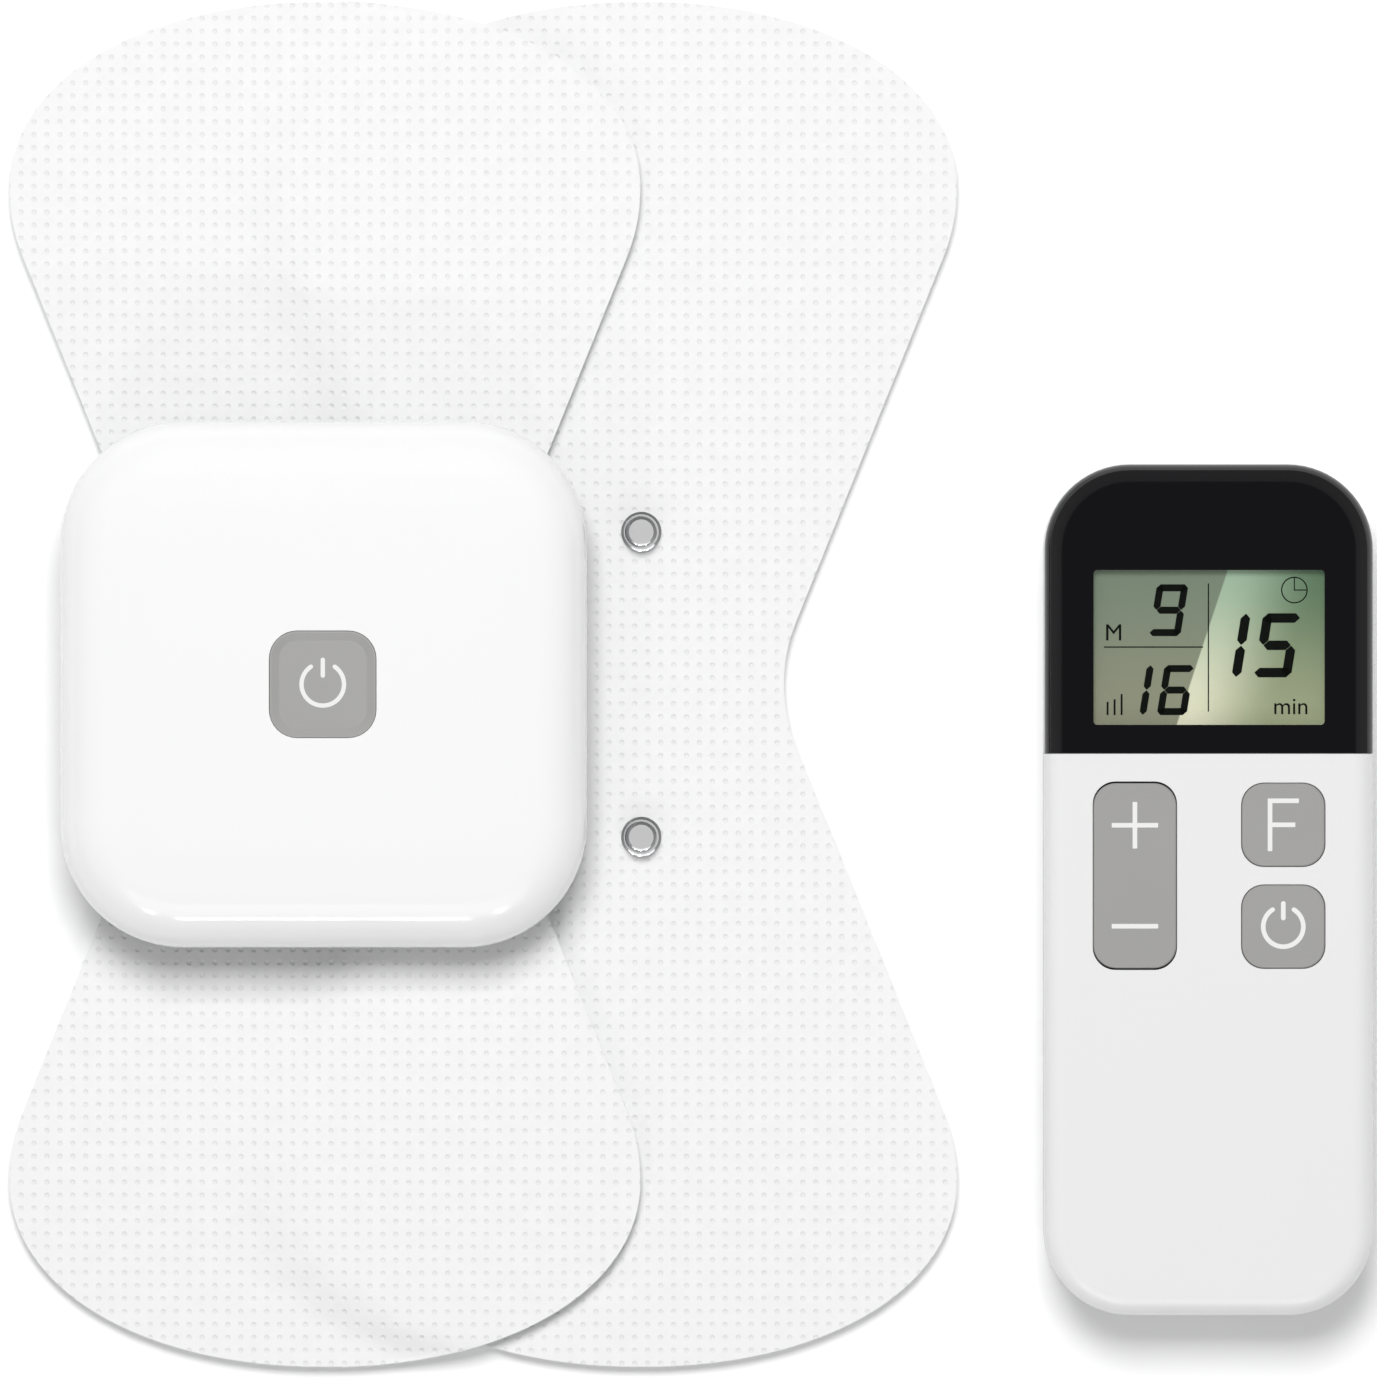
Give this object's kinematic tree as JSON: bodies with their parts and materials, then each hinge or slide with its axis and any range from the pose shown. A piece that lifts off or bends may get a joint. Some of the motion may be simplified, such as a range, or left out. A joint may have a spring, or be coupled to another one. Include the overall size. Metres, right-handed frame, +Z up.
{
  "type": "tens unit",
  "caption": "Wireless nerve-stimulation kit: a square receiver snapped on a bow-tie electrode pad, a spare pad and a slim remote control with a display.",
  "frame": {"origin": "on the table, under the middle of the kit's plan", "axes": "+X from the pads towards the remote control, +Y along the pads and the remote towards its display end, +Z up off the table"},
  "size_m": [0.1558, 0.156, 0.017],
  "materials": {
    "pad_fabric": "embossed non-woven, matt white",
    "conductive_film": "carbon-loaded film, satin black",
    "gel": "clear sticky gel",
    "liner_film": "clear release film",
    "snap_chrome": "bright nickel plate",
    "steel": "plain nickel-plated steel",
    "white_gloss_plastic": "moulded, high gloss white",
    "light_grey_plastic": "moulded, satin light grey",
    "receiver_button_grey": "moulded, satin mid grey with a white printed power sign",
    "key_grey": "moulded, satin mid grey with white printed signs",
    "grey_silicone": "soft silicone",
    "black_plastic": "moulded, matt black",
    "black_display_lens": "polished, printed black behind, with a clear window",
    "screen_glass": "grey-green liquid-crystal display",
    "circuit_board": "green solder mask",
    "cell_foil": "soft foil pouch",
    "coin_steel": "polished cell can",
    "light_lens": "clear epoxy",
    "copper_coil": "varnished copper winding"
  },
  "bodies": {
    "spare_pad": {"spare_cover": "pad_fabric", "spare_film_upper": "conductive_film", "spare_film_lower": "conductive_film", "spare_gel_upper": "gel", "spare_gel_lower": "gel", "spare_liner": "liner_film", "spare_stud_upper": "snap_chrome", "spare_stud_lower": "snap_chrome", "spare_eyelet_upper": "steel", "spare_eyelet_lower": "steel"},
    "front_pad": {"front_cover": "pad_fabric", "front_film_upper": "conductive_film", "front_film_lower": "conductive_film", "front_gel_upper": "gel", "front_gel_lower": "gel", "front_liner": "liner_film", "front_stud_upper": "snap_chrome", "front_stud_lower": "snap_chrome", "front_eyelet_upper": "steel", "front_eyelet_lower": "steel"},
    "receiver": {"receiver_bottom_shell": "light_grey_plastic", "receiver_top_shell": "white_gloss_plastic", "receiver_button_gasket": "grey_silicone", "receiver_switch": "black_plastic", "receiver_board": "circuit_board", "receiver_cell": "cell_foil", "receiver_radio_chip": "black_plastic", "receiver_status_light": "light_lens", "receiver_pulse_coil": "copper_coil", "receiver_charging_port": "steel", "receiver_socket_upper": "snap_chrome", "receiver_socket_lower": "snap_chrome", "receiver_screw_1": "steel", "receiver_screw_2": "steel", "receiver_screw_3": "steel", "receiver_screw_4": "steel"},
    "receiver_button": {"receiver_power_button": "receiver_button_grey"},
    "remote": {"remote_front_shell": "white_gloss_plastic", "remote_rear_shell": "light_grey_plastic", "remote_display_lens": "black_display_lens", "remote_screen": "screen_glass", "remote_contact_strip": "grey_silicone", "remote_keypad": "grey_silicone", "remote_board": "circuit_board", "remote_radio_chip": "black_plastic", "remote_dome_plus": "steel", "remote_dome_minus": "steel", "remote_dome_function": "steel", "remote_dome_power": "steel", "remote_coin_cell": "coin_steel", "remote_cell_contact_side": "steel", "remote_cell_contact_top": "steel", "remote_screw_1": "steel", "remote_screw_2": "steel"},
    "rocker_key": {"remote_rocker_key": "key_grey"},
    "function_key": {"remote_function_key": "key_grey"},
    "power_key": {"remote_power_key": "key_grey"},
    "battery_door": {"remote_battery_door": "light_grey_plastic"}
  },
  "joints": [
    {"name": "front_pad_lift", "type": "slide", "parent": "spare_pad", "child": "front_pad", "axis": [0, 0, 1], "range_m": [0, 0.04]},
    {"name": "receiver_unclip", "type": "slide", "parent": "front_pad", "child": "receiver", "axis": [0, 0, 1], "range_m": [0, 0.03]},
    {"name": "receiver_button_press", "type": "slide", "parent": "receiver", "child": "receiver_button", "axis": [0, 0, -1], "range_m": [0, 0.0005], "stiffness_N_per_m": 2500},
    {"name": "remote_tip", "type": "hinge", "parent": "spare_pad", "child": "remote", "pos_m": [0.04312, -0.06439, 0], "axis": [0.3047, -0.9524, 0], "range_deg": [0, 26]},
    {"name": "rocker_tilt", "type": "hinge", "parent": "remote", "child": "rocker_key", "pos_m": [0.05067, -0.0218, 0.0098], "axis": [1, 0, 0], "range_deg": [-2.2, 2.2], "stiffness_Nm_per_rad": 0.12},
    {"name": "function_key_press", "type": "slide", "parent": "remote", "child": "function_key", "axis": [0, 0, -1], "range_m": [0, 0.00045], "stiffness_N_per_m": 2500},
    {"name": "power_key_press", "type": "slide", "parent": "remote", "child": "power_key", "axis": [0, 0, -1], "range_m": [0, 0.00045], "stiffness_N_per_m": 2500},
    {"name": "battery_door_slide", "type": "slide", "parent": "remote", "child": "battery_door", "axis": [0, -1, 0], "range_m": [0, 0.038]}
  ]
}
